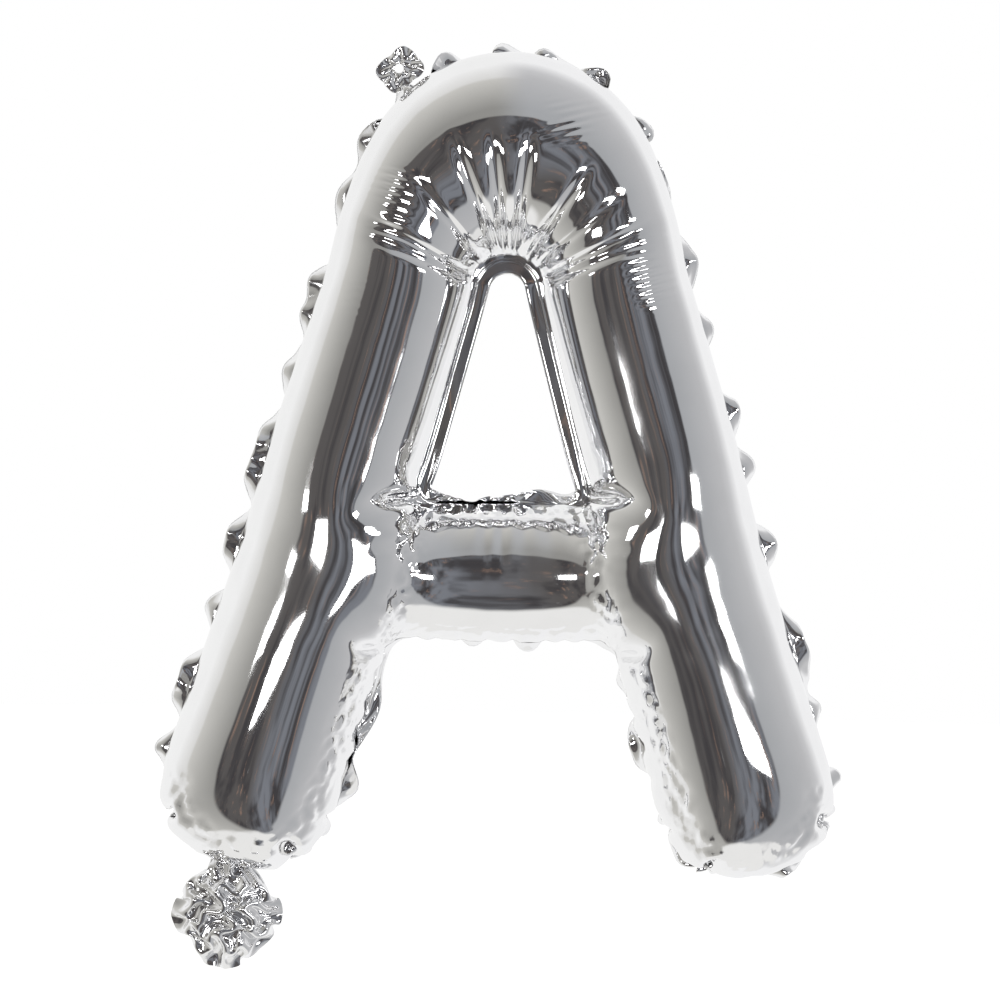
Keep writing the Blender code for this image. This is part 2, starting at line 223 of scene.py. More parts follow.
@dataclass
class LetterPattern:
    """One panel of the letter as a grid of quads, with its flat and inflated places.

    The long grid runs from the right foot over the arch to the left foot, and a second
    one fills the crossbar and shares its end columns with the first.
    """

    cell: float = 2.6 * MM
    soft_start: float = 50 * MM
    depths: TubeDepths = field(default_factory=TubeDepths)
    flat_plan: LetterOutline = FLAT_LETTER
    full_plan: LetterOutline = FULL_LETTER

    def __post_init__(self) -> None:
        """Work out the grids."""
        arch_width = self.flat_plan.arch.z + self.flat_plan.arch.radius
        arch_width -= self.flat_plan.counter_top.z + self.flat_plan.counter_top.radius
        self.columns = round(0.94 * arch_width / self.cell)
        self.across_tube = np.arange(self.columns + 1) / self.columns
        self.flat_rows: list[Array] = []
        self.full_rows: list[Array] = []
        self.bar_start = 0
        depths = self.depths
        self.add_foot_rows()
        self.add_rows(self.flat_plan.lower_leg(), self.full_plan.lower_leg()[0], (depths.foot, depths.leg))
        self.add_bar_end_rows()
        self.add_rows(self.flat_plan.upper_leg(), self.full_plan.upper_leg()[0], (depths.leg, depths.shoulder))
        arch_inner = self.full_plan.half_arch()[0]
        self.add_rows(self.flat_plan.half_arch(), arch_inner, (depths.shoulder, depths.arch), arch=True)
        self.join_halves()
        self.add_bar()
        self.find_loops()

    def add_foot_rows(self) -> None:
        """Add the rows of the round end of the foot, from its tip up."""
        count = self.foot_rows = round(self.flat_plan.foot.radius / self.cell)
        for step in range(count, 0, -1):
            down = step / count
            self.flat_rows.append(self.foot_row(self.flat_plan, 2 * self.across_tube - 1, down)[:, [0, 2]])
            spread = -np.cos(math.pi * self.across_tube)
            self.full_rows.append(self.foot_row(self.full_plan, spread, math.sin(math.pi / 2 * down)))

    def foot_row(self, plan: LetterOutline, spread: Array, down: float) -> Array:
        """Return a row of the foot, by mapping a square onto its rounded end.

        Args:
            plan: The flat or the inflated outline.
            spread: Places across the leg, from -1 to 1.
            down: Place down the foot, from 0 to 1.

        Returns:
            The row's points, with their depth from the seam as y.
        """
        inner, outer = plan.foot_line()
        middle, half_width = between(inner, outer, 0.5), math.dist(inner, outer) / 2
        sideways = spread * np.sqrt(np.maximum(0.0, 1 - plan.foot_squareness * down * down / 2))
        downward = down * np.sqrt(np.maximum(0.0, 1 - plan.foot_squareness * spread * spread / 2))
        depth = self.depths.foot * np.sqrt(np.maximum(0.0, 1 - sideways**2 - downward**2))
        cosine, sine = math.cos(plan.lean()), math.sin(plan.lean())
        x = middle[0] + half_width * sideways * cosine + plan.foot.radius * downward * sine
        z = middle[1] + half_width * sideways * sine - plan.foot.radius * downward * cosine
        return np.stack([x, depth, z], axis=1)

    def full_outer(self, flat_point: Point) -> Point:
        """Return the inflated place of a point of the outer seam between foot and axis.

        The seam keeps its length along the straight edge and is gathered round the arch,
        with a soft start, so that no deep notch forms where the arch begins.

        Args:
            flat_point: The point on the flat outline.

        Returns:
            The point on the inflated outline.
        """
        (flat_low, flat_high), (low, high) = self.flat_plan.outer_tangents(), self.full_plan.outer_tangents()
        flat_arch, arch = self.flat_plan.arch, self.full_plan.arch
        flat_start = math.atan2(flat_high[1] - flat_arch.z, flat_high[0] - flat_arch.x)
        start = math.atan2(high[1] - arch.z, high[0] - arch.x)
        flat_edge, edge = math.dist(flat_low, flat_high), math.dist(low, high)
        place = math.dist(flat_low, flat_point)
        if place > flat_edge:
            angle = math.atan2(flat_point[1] - flat_arch.z, flat_point[0] - flat_arch.x)
            place = flat_edge + flat_arch.radius * (angle - flat_start)
        ratio = arch.radius * (math.pi / 2 - start) / (flat_arch.radius * (math.pi / 2 - flat_start))
        ease = min(1.0, max(0.0, (place - flat_edge) / self.soft_start + 0.5))
        gathered = self.soft_start * (ease**3 - ease**4 / 2)
        gathered += max(0.0, place - flat_edge - self.soft_start / 2)
        place = edge * place / flat_edge - (1 - ratio) * gathered
        if place <= edge:
            return between(low, high, place / edge)
        return arch.at(min(math.pi / 2, start + (place - edge) / arch.radius))

    def slide_along_leg(self, inner: Point, outer: Point) -> Array:
        """Return how far a row's inner end has slid along the leg, seen from its outer end."""
        low, high = self.full_plan.outer_tangents()
        along = np.subtract(high, low) / math.dist(low, high)
        crosswise = np.array((math.cos(self.full_plan.lean()), math.sin(self.full_plan.lean())))
        parts = np.linalg.solve(np.stack([crosswise, along], axis=1), np.subtract(inner, outer))
        return along * parts[1]

    def add_row(self, flat: tuple[Point, Point], inner: Point, depth: float, slide: Array, start: float = 0.0) -> None:
        """Add one row across the tube.

        Args:
            flat: The row's inner and outer end in the flat pattern.
            inner: The row's inner end when the balloon is inflated.
            depth: The tube's depth on one side of the seam.
            slide: How far the inner end has slid along the leg, which dies away across it.
            start: The angle round the section where the row starts, 0 at the seam.
        """
        share = self.across_tube[:, None]
        self.flat_rows.append(np.array(flat[0]) * (1 - share) + np.array(flat[1]) * share)
        angle = start + (math.pi - start) * share
        left = (1 + np.cos(angle)) / 2
        line = np.array(inner) * left + np.array(self.full_outer(flat[1])) * (1 - left)
        line += slide * (left**3 - left)
        self.full_rows.append(np.stack([line[:, 0], depth * np.sin(angle[:, 0]), line[:, 1]], axis=1))

    def add_rows(
        self,
        flat: tuple[list[Point], list[Point]],
        full_inner: list[Point],
        depths: tuple[float, float],
        arch: bool = False,
    ) -> None:
        """Add rows along a stretch of the tube, without the first if it follows another stretch.

        Args:
            flat: The flat pattern's inner and outer path.
            full_inner: The inflated inner path.
            depths: The tube's depth at the start and at the end.
            arch: Whether this is the arch, where the slide of the leg's rows dies out.
        """
        count = max(3, round((path_length(flat[0]) + path_length(flat[1])) / 2 / self.cell))
        follows = self.bar_start > 0
        self.arch_rows = count if arch else 0
        for step in range(count):
            share = (step + 1) / count if follows else step / count
            ends = (walk(flat[0], share), walk(flat[1], share))
            inner = walk(full_inner, share)
            if arch:
                slide = self.last_slide * (1 - share) ** 2
            else:
                slide = self.last_slide = self.slide_along_leg(inner, self.full_outer(ends[1]))
            self.add_row(ends, inner, depths[0] + (depths[1] - depths[0]) * share, slide)

    def add_bar_end_rows(self) -> None:
        """Add the rows beside the crossbar, which start on the curve where it joins the leg."""
        flat, full_inner = self.flat_plan.beside_bar(), self.full_plan.beside_bar()[0]
        self.bar_start = len(self.flat_rows)
        self.bar_rows = round(math.dist(*flat[0]) / self.cell)
        for step in range(self.bar_rows + 1):
            share = step / self.bar_rows
            start = math.asin(min(1.0, self.depths.bar * math.sin(math.pi * share) / self.depths.leg))
            ends = (walk(flat[0], share), walk(flat[1], share))
            inner = between(*full_inner, (1 - math.cos(math.pi * share)) / 2)
            slide = self.slide_along_leg(inner, self.full_outer(ends[1]))
            self.add_row(ends, inner, self.depths.leg, slide, start)

    def join_halves(self) -> None:
        """Mirror the right half's rows into one long grid."""
        flat, full = np.array(self.flat_rows), np.array(self.full_rows)
        self.last_row = 2 * len(flat) - 2
        flat = np.concatenate([flat, flat[-2::-1] * (-1, 1)])
        full = np.concatenate([full, full[-2::-1] * (-1, 1, 1)])
        self.leg_grid = np.arange(flat.shape[0] * flat.shape[1]).reshape(flat.shape[:2])
        self.flat = flat.reshape(-1, 2)
        self.full = full.reshape(-1, 3)

    def add_bar(self) -> None:
        """Add the crossbar's grid between the two legs."""
        half = max(4, round(self.flat[self.leg_grid[self.bar_start, 0], 0] / self.cell))
        shape = (self.bar_rows + 1, 2 * half + 1)
        self.bar_grid = np.zeros(shape, int)
        flat, full = [], []
        for row in range(shape[0]):
            right = self.leg_grid[self.bar_start + row, 0]
            left = self.leg_grid[self.last_row - self.bar_start - row, 0]
            self.bar_grid[row, 0], self.bar_grid[row, -1] = right, left
            share = row / self.bar_rows
            round_share = (1 - math.cos(math.pi * share)) / 2
            for column in range(1, shape[1] - 1):
                reach = 1 - column / half
                self.bar_grid[row, column] = len(self.flat) + len(flat)
                x, z = self.bar_point(self.flat_plan, self.flat[right], reach, share)
                flat.append((x, z))
                x, z = self.bar_point(self.full_plan, self.full[right][[0, 2]], reach, round_share)
                full.append((x, self.depths.bar * math.sin(math.pi * share), z))
        self.flat = np.concatenate([self.flat, flat])
        self.full = np.concatenate([self.full, full])

    def bar_point(self, plan: LetterOutline, end: Array, reach: float, share: float) -> Point:
        """Return a point of the crossbar, fitted to the curve where it joins the leg.

        Args:
            plan: The flat or the inflated outline.
            end: The end of this row at the right leg.
            reach: The place along the row, from 1 at the right leg to -1 at the left.
            share: The place between the lower and the upper edge.

        Returns:
            The point.
        """
        low, high = plan.bar_edges(abs(end[0]))
        miss = end[1] - (low + (high - low) * share)
        low, high = plan.bar_edges(abs(end[0] * reach))
        return end[0] * reach, low + (high - low) * share + miss * reach * reach

    def find_loops(self) -> None:
        """List the points of the outer seam and of the counter's seam, each in order."""
        leg, bar, last = self.leg_grid, self.bar_grid, self.last_row
        outer = [leg[0, :-1], leg[:-1, -1], leg[last, :0:-1], leg[last : last - self.bar_start : -1, 0]]
        outer += [bar[0, :0:-1], leg[self.bar_start : 0 : -1, 0]]
        self.outer_loop = np.concatenate(outer)
        top = self.bar_start + self.bar_rows
        self.counter_loop = np.concatenate([leg[top : last - top, 0], bar[-1, :0:-1]])


def grid_links(grid: Array, reach: int = 1) -> Array:
    """Return the pairs of points that lie a number of steps apart along a grid's lines."""
    along = np.stack([grid[:-reach].ravel(), grid[reach:].ravel()], axis=1)
    if grid.shape[1] <= reach:
        return along
    return np.concatenate([along, np.stack([grid[:, :-reach].ravel(), grid[:, reach:].ravel()], axis=1)])


def grid_diagonals(grid: Array) -> Array:
    """Return the pairs of points across each cell of a grid."""
    falling = np.stack([grid[:-1, :-1].ravel(), grid[1:, 1:].ravel()], axis=1)
    rising = np.stack([grid[:-1, 1:].ravel(), grid[1:, :-1].ravel()], axis=1)
    return np.concatenate([falling, rising])


def grid_quads(grid: Array) -> Array:
    """Return the four corners of each cell of a grid."""
    corners = (grid[:-1, :-1], grid[:-1, 1:], grid[1:, 1:], grid[1:, :-1])
    return np.stack([corner.ravel() for corner in corners], axis=1)


@dataclass
class FilmSolver:
    """Inflates film that bends easily but neither stretches nor shrinks.

    It is a position-based cloth solver: links between points keep their flat length,
    pressure pushes the panels out, and seams are drawn towards their inflated outline.

    Attributes:
        places: The points as they start, and where they are.
        flat: The points of the flat pattern, for the links' lengths.
        guide: The share of the way to its starting place that a point is drawn each step.
    """

    places: Array
    flat: Array
    guide: Array
    push: float = 0.02 * MM
    gather: Array | None = None
    taut: Array | None = None
    drag: float = 0.97
    shear: float = 0.5
    bend: float = 0.05
    batches: list = field(default_factory=list)
    skins: list = field(default_factory=list)

    def add_grid(self, grid: Array, ease: float = 1.0) -> None:
        """Add the links of one grid of film, which may start at ease times its full size."""
        self.add_links(grid_links(grid), 1.0, ease)
        self.add_links(grid_diagonals(grid), self.shear, ease)
        if min(grid.shape) > 2:
            self.add_links(grid_links(grid, 2), self.bend, ease)

    def add_links(self, pairs: Array, stiffness: float, ease: float) -> None:
        """Add links in batches in which no point comes twice.

        Args:
            pairs: The two points of each link.
            stiffness: The share of a link's error that one step takes away.
        """
        flat = np.linalg.norm(self.flat[pairs[:, 1]] - self.flat[pairs[:, 0]], axis=1)
        full = np.linalg.norm(self.places[pairs[:, 1]] - self.places[pairs[:, 0]], axis=1)
        length = np.maximum(flat, full * ease)
        if self.taut is not None:
            length += (full - length) * (self.taut[pairs[:, 0]] + self.taut[pairs[:, 1]]) / 2
        if self.gather is not None:
            length *= 1 + (self.gather[pairs[:, 0]] + self.gather[pairs[:, 1]]) / 2
        taken = [0] * len(self.places)
        turn = np.empty(len(pairs), int)
        for index, (first, second) in enumerate(pairs.tolist()):
            free = ~(taken[first] | taken[second])
            bit = free & -free
            turn[index] = bit.bit_length()
            taken[first] |= bit
            taken[second] |= bit
        for number in range(1, turn.max() + 1):
            chosen = turn == number
            self.batches.append((pairs[chosen, 0], pairs[chosen, 1], length[chosen], stiffness / 2))

    def add_skin(self, quads: Array) -> None:
        """Add a panel that the pressure pushes on, with its faces turned out."""
        self.skins.append(quads)

    def pressure(self) -> Array:
        """Return the push on each point, in proportion to the film round it."""
        total = np.zeros_like(self.places)
        for quads in self.skins:
            a, b, c, d = (self.places[quads[:, corner]] for corner in range(4))
            force = np.cross(c - a, d - b) / 8
            for axis in range(3):
                for corner in range(4):
                    total[:, axis] += np.bincount(quads[:, corner], force[:, axis], len(total))
        return total

    def run(self, steps: int, twins: tuple[Array, Array], cell: float, uneven: Array) -> None:
        """Step the film until it is at rest.

        Args:
            steps: The number of steps.
            twins: Points of the front and of the back that face each other.
            cell: The size of a cell, for the scale of the push.
            uneven: Small moves that start the wrinkles.
        """
        target = self.places.copy()
        self.places = self.places + uneven
        speed = np.zeros_like(target)
        for _ in range(steps):
            before = self.places.copy()
            speed = speed * self.drag + self.pressure() * (self.push / cell**2)
            self.places += speed
            for first, second, length, half in self.batches:
                apart = self.places[second] - self.places[first]
                now = np.sqrt(np.einsum("ij,ij->i", apart, apart)) + 1e-12
                apart *= ((1 - length / now) * half)[:, None]
                self.places[first] += apart
                self.places[second] -= apart
            self.places += (target - self.places) * self.guide
            front, back = twins
            overlap = np.maximum(0.0, self.places[front, 1] - self.places[back, 1]) / 2
            self.places[front, 1] -= overlap
            self.places[back, 1] += overlap
            speed = self.places - before


def smooth(share: Array) -> Array:
    """Return a smooth step from 0 to 1 as the share goes from 0 to 1."""
    share = np.clip(share, 0, 1)
    return share * share * (3 - 2 * share)


def beside(places: Array, start: Point, end: Point) -> tuple[Array, Array]:
    """Measure places against a line, as seen from the front.

    Args:
        places: The points, in the letter's coordinates.
        start: Where the line starts.
        end: Where it ends.

    Returns:
        Each point's share of the way along the line, and its distance from it.
    """
    run = np.subtract(end, start)
    offset = places[:, [0, 2]] - np.array(start)
    away = (offset[:, 0] * run[1] - offset[:, 1] * run[0]) / np.linalg.norm(run)
    return offset @ run / (run @ run), away


@dataclass(frozen=True)
class Crease:
    """A thin valley that runs out from the top of the counter over the arch."""

    start: Point
    end: Point
    depth: float
    half_width: float = 1.7 * MM

    def push(self, places: Array) -> Array:
        """Return how far each place is pushed out, less than 0 in the valley."""
        along, away = beside(places, self.start, self.end)
        strength = smooth(along / 0.15) * smooth((1 - along) / 0.4)
        width = self.half_width * (0.75 + 0.75 * np.clip(along, 0, 1))
        return -self.depth * strength * np.exp(-((away / width) ** 2))


@dataclass(frozen=True)
class Crumple:
    """A band of film that is crumpled into small puffs with creases between them.

    Attributes:
        path: The band's middle line.
        half_width: How far it reaches to each side.
        height: How far the puffs stand out.
        puff: The size of a puff.
        tall: How many times higher than wide a puff is.
        knots: The heights where the crumples gather, or none if they are even.
    """

    path: tuple[Point, ...]
    half_width: float
    height: float
    puff: float
    tall: float = 1.0
    knots: tuple[float, ...] = ()

    def strength(self, places: Array) -> Array:
        """Return how strongly each place is crumpled, from 0 to 1."""
        distance = np.full(len(places), np.inf)
        for start, end in zip(self.path, self.path[1:]):
            along, away = beside(places, start, end)
            beyond = np.maximum(0, np.maximum(-along, along - 1)) * math.dist(start, end)
            distance = np.minimum(distance, np.hypot(away, beyond))
        gathered = [np.exp(-(((places[:, 2] - knot) / (7 * MM)) ** 2)) for knot in self.knots]
        return smooth(1 - distance / self.half_width) * (0.3 + 0.7 * np.max(gathered, axis=0) if gathered else 1)

    def push(self, places: Array) -> Array:
        """Return how far each place is pushed out."""
        strength = self.strength(places)
        push = np.zeros(len(places))
        for index in np.flatnonzero(strength > 0.01):
            spot = places[index] / self.puff / (1, 1, self.tall)
            for size, share in ((1.0, 0.65), (2.3, 0.35)):
                near = noise.voronoi(tuple(spot * size))[0]
                push[index] += share * (min(near[1] - near[0], 0.5) * 2 - 0.6)
        return push * strength * self.height


@dataclass
class FilmRelief:
    """The fine relief of a panel: creases, crumples and the coils on its shoulders."""

    forms: list[Crease | Crumple]
    coils: Crumple
    coil_pitch: float = 3.5 * MM
    lean: float = math.radians(17)

    def press(self, piece: bpy.types.Object) -> None:
        """Press the relief into a panel and store its coils for the finish."""
        mesh = piece.data
        places, normals = np.empty((2, len(mesh.vertices), 3))
        mesh.vertices.foreach_get("co", places.ravel())
        mesh.vertex_normals.foreach_get("vector", normals.ravel())
        letter = places + RIBBON_HOLE
        push = sum(form.push(letter) for form in self.forms)
        places += normals * (push * smooth((np.abs(letter[:, 1]) - 0.5 * MM) / (3 * MM)))[:, None]
        mesh.vertices.foreach_set("co", places.ravel())
        along = letter[:, 2] * math.cos(self.lean) - np.abs(letter[:, 0]) * math.sin(self.lean)
        for name, values in (("coil_turn", along / self.coil_pitch), ("coil_height", self.coils.strength(letter))):
            mesh.attributes.new(name, "FLOAT", "POINT").data.foreach_set("value", values)
        mesh.update()


class Term:
    """A shader socket that takes part in Python expressions."""

    def __init__(self, graph: "Graph", socket: bpy.types.NodeSocket) -> None:
        """Wrap a node's output socket."""
        self.graph = graph
        self.socket = socket

    def _join(self, operation: str, first: "Term | float", second: "Term | float") -> "Term":
        """Add a Math node for two operands and return its result."""
        return self.graph.node("ShaderNodeMath", {0: first, 1: second}, operation=operation)

    def __add__(self, other: "Term | float") -> "Term":
        """Return self + other."""
        return self._join("ADD", self, other)

    def __radd__(self, other: float) -> "Term":
        """Return other + self."""
        return self._join("ADD", other, self)

    def __sub__(self, other: "Term | float") -> "Term":
        """Return self - other."""
        return self._join("SUBTRACT", self, other)

    def __rsub__(self, other: float) -> "Term":
        """Return other - self."""
        return self._join("SUBTRACT", other, self)

    def __mul__(self, other: "Term | float") -> "Term":
        """Return self * other."""
        return self._join("MULTIPLY", self, other)

    def __rmul__(self, other: float) -> "Term":
        """Return other * self."""
        return self._join("MULTIPLY", other, self)

    def __neg__(self) -> "Term":
        """Return -self."""
        return self._join("MULTIPLY", self, -1.0)

    def clamped(self) -> "Term":
        """Return the value held between 0 and 1."""
        return self.graph.node("ShaderNodeClamp", {"Value": self})

    def ramped(self, low: float, high: float) -> "Term":
        """Return 0 below low and 1 above high, with a smooth step between them."""
        values = {"Value": self, "From Min": low, "From Max": high}
        return self.graph.node("ShaderNodeMapRange", values, interpolation_type="SMOOTHSTEP")


Colour = tuple[float, float, float]
Value = Term | float | tuple


class Graph:
    """A node tree that is built from expressions."""

    def __init__(self, tree: bpy.types.NodeTree) -> None:
        """Clear a material's or the world's node tree."""
        self.tree = tree
        self.tree.nodes.clear()

    def node(self, kind: str, values: dict[str | int, Value], output: str | int = 0, **settings: object) -> Term:
        """Add a node.

        Args:
            kind: The node's type.
            values: What goes into its sockets, by name or number: a link or a constant.
            output: The socket that is returned, by name or number.
            settings: The node's own settings, which are set before its sockets. A colour
                ramp's stops are (place, colour) pairs.

        Returns:
            The chosen output.
        """
        made = self.tree.nodes.new(kind)
        stops = settings.pop("stops", None)
        for name, value in settings.items():
            setattr(made, name, value)
        if stops:
            elements = made.color_ramp.elements
            while len(elements) < len(stops):
                elements.new(1.0)
            for element, (place, colour) in zip(elements, stops):
                element.position = place
                element.color = (*colour, 1.0)
        for name, value in values.items():
            socket = made.inputs[name]
            if isinstance(value, Term):
                self.tree.links.new(value.socket, socket)
            elif socket.type == "RGBA":
                socket.default_value = (*value, 1.0)
            else:
                socket.default_value = value
        return Term(self, made.outputs[output] if len(made.outputs) else None)

    def mix(self, share: Value, first: Value, second: Value) -> Term:
        """Return a colour between two, by a share from 0 to 1."""
        values = {0: share, 6: first, 7: second}
        return self.node("ShaderNodeMix", values, output=2, data_type="RGBA")

    def noise(self, place: Value, scale: float, detail: float = 2.0, roughness: float = 0.5) -> Term:
        """Return noise from 0 to 1 at a place, its scale in waves per unit."""
        values = {"Vector": place, "Scale": scale, "Detail": detail, "Roughness": roughness}
        return self.node("ShaderNodeTexNoise", values, output="Fac")

    def joined(self, across: Value, up: Value) -> Term:
        """Return a vector from its part across and its part up."""
        return self.node("ShaderNodeCombineXYZ", {"X": across, "Z": up})

    def stretched(self, place: Term, scale: tuple[float, float, float]) -> Term:
        """Return a place scaled along each axis."""
        return self.node("ShaderNodeMapping", {"Vector": place, "Scale": scale})


@dataclass(frozen=True)
class MirrorFoil:
    """The finish of metallised film: a mirror with a fine crinkle.

    Attributes:
        name: The material's name.
        colour: What the film reflects head on.
        roughness: How much the mirror blurs, at its clearest.
        haze: How much more it blurs where the film is worked.
        crinkle: The height of the fine creases, as bump strength.
        grain: The size of the fine creases.
        coils: The height of the coils on the shoulders, in millimetres.
    """

    name: str
    colour: Colour = (0.93, 0.93, 0.935)
    roughness: float = 0.045
    haze: float = 0.07
    crinkle: float = 0.05
    grain: float = 9 * MM
    coils: float = 0.0

    def material(self) -> bpy.types.Material:
        """Return the finish as a node material."""
        made = bpy.data.materials.new(self.name)
        made.use_nodes = True
        graph = Graph(made.node_tree)
        place = graph.node("ShaderNodeTexCoord", {}, output="Object")
        worked = graph.noise(place, 14.0, 3.0, 0.6).ramped(0.42, 0.72)
        swirl = graph.noise(place, 1 / (4 * self.grain), 2.0)
        creases = graph.node(
            "ShaderNodeTexVoronoi", {"Vector": place, "Scale": 0.5 / self.grain}, feature="SMOOTH_F1"
        )
        height = swirl * 0.6 + creases * (0.4 * (worked * 0.7 + 0.3))
        normal = graph.node(
            "ShaderNodeBump", {"Height": height, "Strength": self.crinkle, "Distance": self.grain}, output="Normal"
        )
        if self.coils:
            turn, room = (
                graph.node("ShaderNodeAttribute", {}, output="Fac", attribute_name=name)
                for name in ("coil_turn", "coil_height")
            )
            wave = graph.node("ShaderNodeMath", {0: turn * (2 * math.pi)}, operation="SINE")
            patchy = graph.noise(graph.stretched(place, (18.0, 18.0, 30.0)), 1.0).ramped(0.45, 0.6)
            normal = graph.node(
                "ShaderNodeBump",
                {"Height": wave * room * patchy, "Strength": 1.0, "Distance": self.coils * MM, "Normal": normal},
                output="Normal",
            )
        tarnish = graph.noise(place, 45.0, 4.0, 0.6)
        colour = graph.mix(tarnish.ramped(0.3, 0.8), self.colour, tuple(0.965 * part for part in self.colour))
        shader = graph.node(
            "ShaderNodeBsdfPrincipled",
            {
                "Base Color": colour,
                "Metallic": 1.0,
                "Roughness": worked * self.haze + self.roughness,
                "Normal": normal,
            },
        )
        graph.node("ShaderNodeOutputMaterial", {"Surface": shader})
        return made


@dataclass(frozen=True)
class PaleFloor:
    """The finish of the studio's floor."""

    name: str = "pale_floor_paper"
    colour: Colour = (0.86, 0.86, 0.855)

    def material(self) -> bpy.types.Material:
        """Return the finish as a node material."""
        made = bpy.data.materials.new(self.name)
        made.use_nodes = True
        graph = Graph(made.node_tree)
        place = graph.node("ShaderNodeTexCoord", {}, output="Object")
        grain = graph.noise(place, 60.0, 5.0, 0.6)
        colour = graph.mix(grain, self.colour, tuple(0.97 * part for part in self.colour))
        shader = graph.node(
            "ShaderNodeBsdfPrincipled",
            {"Base Color": colour, "Roughness": 0.85, "Emission Color": (1.0, 1.0, 1.0), "Emission Strength": 0.5},
        )
        graph.node("ShaderNodeOutputMaterial", {"Surface": shader})
        return made


def film_object(name: str, places: Array, quads: Array, levels: int, thickness: float = 0.0) -> bpy.types.Object:
    """Make a smooth piece from part of the solver's points.

    Args:
        name: The piece's name.
        places: The points, in the letter's coordinates.
        quads: The faces.
        levels: The levels of subdivision.
        thickness: The film's thickness, or 0 for a panel that others close.

    Returns:
        The finished piece, which sits at the origin.
    """
    used = np.unique(quads)
    number = np.zeros(len(places), int)
    number[used] = np.arange(len(used))
    mesh = bpy.data.meshes.new(name)
    mesh.from_pydata((places[used] - RIBBON_HOLE).tolist(), [], number[quads].tolist())
    piece = bpy.data.objects.new(name, mesh)
    bpy.context.scene.collection.objects.link(piece)
    bpy.ops.object.select_all(action="DESELECT")
    piece.select_set(True)
    bpy.context.view_layer.objects.active = piece
    if levels:
        smooth = piece.modifiers.new("smooth film", "SUBSURF")
        smooth.levels = smooth.render_levels = levels
        smooth.boundary_smooth = "PRESERVE_CORNERS"
        bpy.ops.object.modifier_apply(modifier=smooth.name)
    if thickness:
        wall = piece.modifiers.new("film thickness", "SOLIDIFY")
        wall.thickness = thickness
        wall.offset = 0.0
        bpy.ops.object.modifier_apply(modifier=wall.name)
    bpy.ops.object.shade_smooth()
    return piece


def dress(piece: bpy.types.Object, finish: MirrorFoil, slot: str, *nodes: str) -> bpy.types.Object:
    """Give a piece its finish and its body, and hide the solids that it stands for.

    Args:
        piece: The piece.
        finish: Its finish.
        slot: The record's material slot, which is not used.
        nodes: The solids that it replaces.

    Returns:
        The same piece.
    """
    piece.data.materials.append(finish.material())
    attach(piece, BODY)
    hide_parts(*nodes)
    LOG.info("%s: %d faces", piece.name, len(piece.data.polygons))
    return piece


def facing(places: Array, quads: Array, side: int) -> Array:
    """Return the quads with their faces turned to -Y or +Y.

    Args:
        places: The points.
        quads: The faces of one smooth panel.
        side: The sign of the Y direction that they face.

    Returns:
        The quads, turned round if they faced the other way.
    """
    a, b, c, d = (places[quads[:, corner]] for corner in range(4))
    return quads if np.cross(c - a, d - b)[:, 1].sum() * side > 0 else quads[:, ::-1]


def both(start: Point, end: Point, depth: float) -> list[Crease]:
    """Return a crease and its twin on the other side of the letter's axis."""
    return [Crease((side * start[0], start[1]), (side * end[0], end[1]), depth) for side in (1, -1)]


def pair(path: tuple[Point, ...], *sizes: float, **more: object) -> list[Crumple]:
    """Return a crumpled band and its twin on the other side of the letter's axis."""
    return [Crumple(tuple((side * x, z) for x, z in path), *sizes, **more) for side in (1, -1)]


def panel_relief() -> FilmRelief:
    """Return the relief of the letter's panels, in the letter's coordinates."""
    foot = FULL_LETTER.foot
    around_foot = tuple(Pulley(foot.x, foot.z, 30 * MM).arc(math.radians(185), math.radians(355), 12))
    over_counter = tuple(Pulley(0.0, 245.5 * MM, 20 * MM).arc(math.radians(15), math.radians(165), 8))
    forms = [
        Crease((-4 * MM, 259 * MM), (-26 * MM, 312 * MM), 1.7 * MM),
        Crease((-1.6 * MM, 259.5 * MM), (-8.5 * MM, 314 * MM), 1.8 * MM),
        Crease((2.2 * MM, 259.3 * MM), (9 * MM, 315 * MM), 1.8 * MM),
        Crease((6.5 * MM, 257.6 * MM), (36 * MM, 300 * MM), 1.9 * MM),
        *both((12.5 * MM, 251 * MM), (68 * MM, 277 * MM), 2.2 * MM),
        *both((12.9 * MM, 248 * MM), (66 * MM, 269 * MM), 1.7 * MM),
        Crease((-9 * MM, 256 * MM), (-46 * MM, 297 * MM), 1.1 * MM),
        Crease((10 * MM, 255 * MM), (55 * MM, 291 * MM), 1.0 * MM),
        Crumple(over_counter, 4.5 * MM, 0.7 * MM, 3.2 * MM),
        *pair(
            ((33 * MM, 161 * MM), (40 * MM, 125 * MM), (48 * MM, 95 * MM)),
            7 * MM,
            2.4 * MM,
            6 * MM,
            knots=(160 * MM, 135 * MM, 114 * MM, 98 * MM),
        ),
        *pair(((56 * MM, 84 * MM), (77 * MM, 28 * MM)), 9 * MM, 1.6 * MM, 6.5 * MM),
        *pair(around_foot, 9 * MM, 1.5 * MM, 10 * MM),
        Crumple(((-40 * MM, 102 * MM), (40 * MM, 102 * MM)), 7 * MM, 1.3 * MM, 7 * MM, tall=2.5),
        Crumple(((-30 * MM, 153 * MM), (30 * MM, 153 * MM)), 4 * MM, 1.2 * MM, 4 * MM),
    ]
    shoulders = ((-57 * MM, 240 * MM), (-42 * MM, 315 * MM), (44 * MM, 315 * MM), (60 * MM, 247 * MM))
    return FilmRelief(forms, Crumple(shoulders, 12 * MM, 0.0, 1.0))


